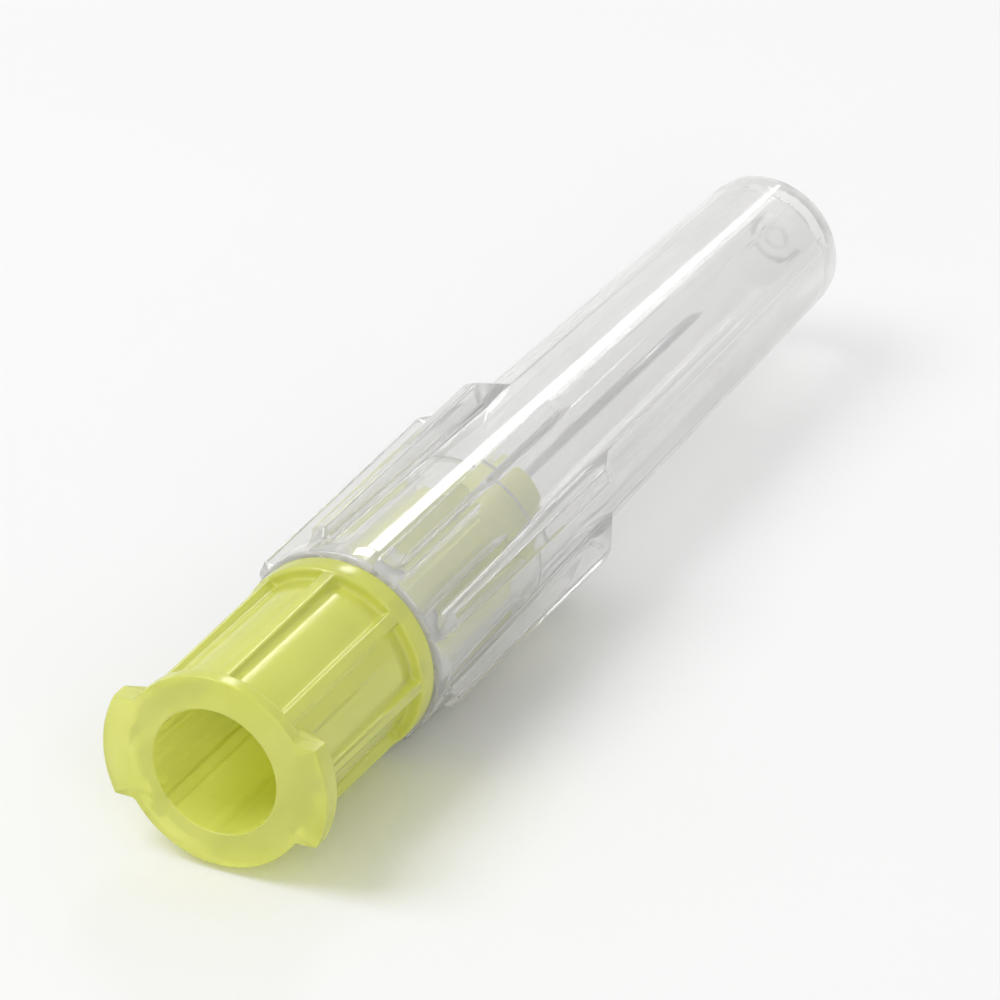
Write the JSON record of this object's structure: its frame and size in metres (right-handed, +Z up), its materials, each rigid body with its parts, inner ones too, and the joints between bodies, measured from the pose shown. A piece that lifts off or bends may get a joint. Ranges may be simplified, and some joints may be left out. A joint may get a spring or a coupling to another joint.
{
  "type": "hypodermic needle",
  "caption": "Capped hypodermic needle lying on its side: a fine steel tube glued in a yellow Luer hub with locking lugs, under a ribbed, see-through pull-off cap.",
  "frame": {"origin": "centre of the Luer socket's mouth, on the flat end face of the hub", "axes": "+X along the needle's own axis from the hub to the sharp tip; +Z up as it lies on its side; +Y to the left seen from the hub"},
  "size_m": [0.0369, 0.0078, 0.007],
  "materials": {
    "hub_plastic": "translucent yellow polypropylene, moulded",
    "cannula_steel": "drawn and polished stainless steel",
    "adhesive_resin": "clear cured resin",
    "shield_plastic": "natural, milky translucent polypropylene"
  },
  "bodies": {
    "needle": {"hub": "hub_plastic", "cannula": "cannula_steel", "adhesive": "adhesive_resin"},
    "cap": {"shield": "shield_plastic"}
  },
  "joints": [
    {"name": "shield_pull", "type": "slide", "parent": "needle", "child": "cap", "axis": [1, 0, 0], "range_m": [0, 0.03]}
  ]
}
